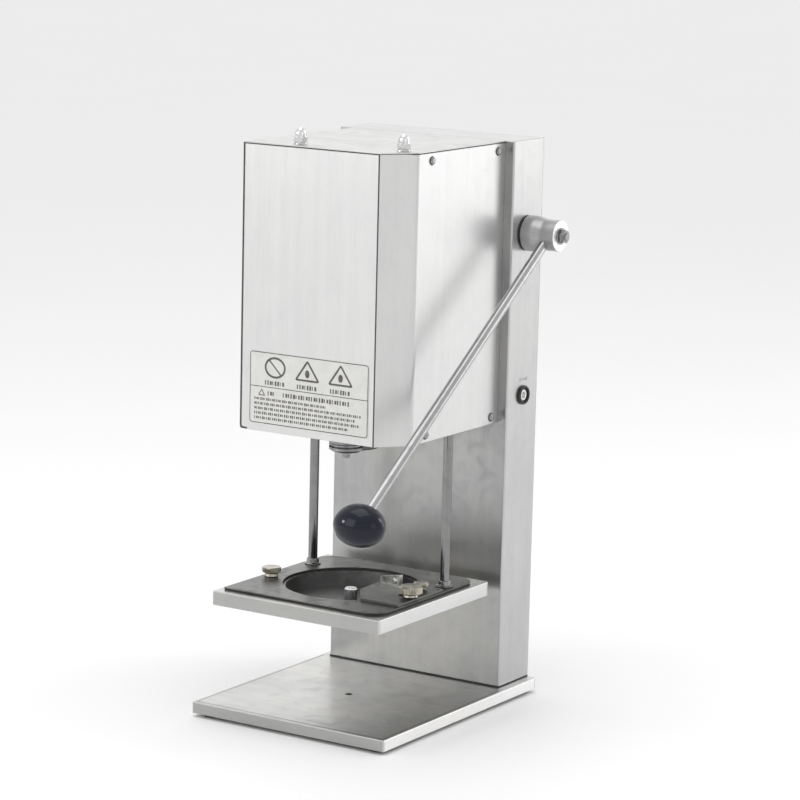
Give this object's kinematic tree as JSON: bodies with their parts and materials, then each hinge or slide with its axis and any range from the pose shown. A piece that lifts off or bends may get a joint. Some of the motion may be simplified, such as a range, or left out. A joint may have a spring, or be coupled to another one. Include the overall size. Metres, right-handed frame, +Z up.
{
  "type": "cup sealing machine",
  "caption": "Bench-top lever cup sealer: brushed steel base, column and head, a lever-lifted tray on guide rods, and a motor-driven seaming head.",
  "frame": {"origin": "centre of the base plate's underside; the rubber feet reach 4 mm lower", "axes": "+Z up, +X to the lever's side, -Y to the operator"},
  "size_m": [0.285, 0.4075, 0.6225],
  "materials": {
    "brushed_steel": "fine vertical brush, satin",
    "bright_chrome": "polished",
    "machined_steel": "turned, lightly oiled",
    "cast_aluminium": "satin machined",
    "black_rubber": "matte",
    "knurled_nickel": "nickel plated, knurled edge",
    "navy_knob": "glossy",
    "black_plastic": "matte",
    "white_plastic": "semi gloss",
    "bronze": "sintered",
    "plated_steel": "zinc plated",
    "motor_paint": "semi gloss black",
    "circuit_board": "solder mask",
    "label_film": "printed satin film"
  },
  "bodies": {
    "frame": {"acorn_nuts": "bright_chrome", "back_cover_screws": "bright_chrome", "ball_bearings": "machined_steel", "base_plate": "brushed_steel", "bearing_plate": "cast_aluminium", "casing_frame": "plated_steel", "centre_shaft": "machined_steel", "chuck_bolt": "machined_steel", "column_back_cover": "brushed_steel", "column_foot_plate": "plated_steel", "column_gasket": "black_rubber", "column_shell": "brushed_steel", "control_board": "circuit_board", "drive_motor": "motor_paint", "frame_pillars": "cast_aluminium", "front_label": "label_film", "front_panel": "brushed_steel", "guide_bushes": "bronze", "head_bottom_plate": "brushed_steel", "hub_seal": "black_rubber", "inlet_ring": "black_plastic", "inlet_socket": "white_plastic", "left_panel": "brushed_steel", "lid": "brushed_steel", "motor_plate": "cast_aluminium", "panel_screws": "bright_chrome", "right_panel": "brushed_steel", "rubber_feet": "black_rubber", "seaming_chuck": "machined_steel", "shaft_bushes": "bronze", "travel_sensor": "black_plastic"},
    "lever": {"lever_shaft": "machined_steel", "lever_hub": "cast_aluminium", "lever_rod": "bright_chrome", "lever_knob": "navy_knob", "hub_nut": "bright_chrome", "sector_gear": "machined_steel"},
    "lift": {"guide_rods": "bright_chrome", "rod_collars_and_nuts": "bright_chrome", "crosshead": "cast_aluminium", "lift_rack": "machined_steel", "tray_rim": "brushed_steel", "tray_deck": "cast_aluminium", "tray_gasket": "black_rubber", "inset_plate": "brushed_steel", "cup_dish": "cast_aluminium", "recess_pad": "black_rubber", "cup_post": "bright_chrome"},
    "jaw": {"jaw_plate": "brushed_steel", "jaw_block": "cast_aluminium"},
    "left_screw": {"left_thumb_screw": "knurled_nickel"},
    "right_screw": {"right_thumb_screw": "knurled_nickel"},
    "rear_screw": {"rear_thumb_screw": "knurled_nickel"},
    "carrier": {"roller_carrier": "machined_steel", "spindle_gear": "machined_steel"},
    "arm_1": {"roller_arm_1": "machined_steel"},
    "arm_2": {"roller_arm_2": "machined_steel"},
    "roller_1": {"seaming_roller_1": "machined_steel"},
    "roller_2": {"seaming_roller_2": "machined_steel"},
    "motor_rotor": {"motor_pinion": "machined_steel"}
  },
  "joints": [
    {"name": "lever_swing", "type": "hinge", "parent": "frame", "child": "lever", "pos_m": [0, 0.123, 0.502], "axis": [-1, 0, 0], "range_deg": [0, 75]},
    {"name": "tray_lift", "type": "slide", "parent": "frame", "child": "lift", "axis": [0, 0, 1], "range_m": [0, 0.059]},
    {"name": "jaw_slide", "type": "slide", "parent": "lift", "child": "jaw", "axis": [1, 0, 0], "range_m": [0, 0.012]},
    {"name": "left_screw_turn", "type": "hinge", "parent": "lift", "child": "left_screw", "pos_m": [-0.086, -0.059, 0.136], "axis": [0, 0, 1], "range_deg": [0, 720]},
    {"name": "right_screw_turn", "type": "hinge", "parent": "lift", "child": "right_screw", "pos_m": [0.087, -0.055, 0.139], "axis": [0, 0, 1], "range_deg": [0, 720]},
    {"name": "rear_screw_turn", "type": "hinge", "parent": "lift", "child": "rear_screw", "pos_m": [0.077, -0.02, 0.139], "axis": [0, 0, 1], "range_deg": [0, 720]},
    {"name": "carrier_spin", "type": "hinge", "parent": "frame", "child": "carrier", "pos_m": [0, -0.034, 0.35], "axis": [0, 0, 1], "continuous": true},
    {"name": "arm_1_swing", "type": "hinge", "parent": "carrier", "child": "arm_1", "pos_m": [0.05519, -0.05596, 0.3066], "axis": [0, 0, -1], "range_deg": [0, 5]},
    {"name": "arm_2_swing", "type": "hinge", "parent": "carrier", "child": "arm_2", "pos_m": [-0.05519, -0.01204, 0.3066], "axis": [0, 0, -1], "range_deg": [0, 5]},
    {"name": "roller_1_spin", "type": "hinge", "parent": "arm_1", "child": "roller_1", "pos_m": [0.01978, -0.07992, 0.295], "axis": [0, 0, 1], "continuous": true},
    {"name": "roller_2_spin", "type": "hinge", "parent": "arm_2", "child": "roller_2", "pos_m": [-0.01978, 0.01192, 0.295], "axis": [0, 0, 1], "continuous": true},
    {"name": "motor_spin", "type": "hinge", "parent": "frame", "child": "motor_rotor", "pos_m": [-0.054, -0.034, 0.39], "axis": [0, 0, 1], "continuous": true}
  ],
  "couplings": [
    {"joint": "tray_lift", "follows": "lever_swing", "m_per_rad": 0.045},
    {"joint": "motor_spin", "follows": "carrier_spin", "ratio": -3},
    {"joint": "arm_2_swing", "follows": "arm_1_swing", "ratio": 1}
  ]
}
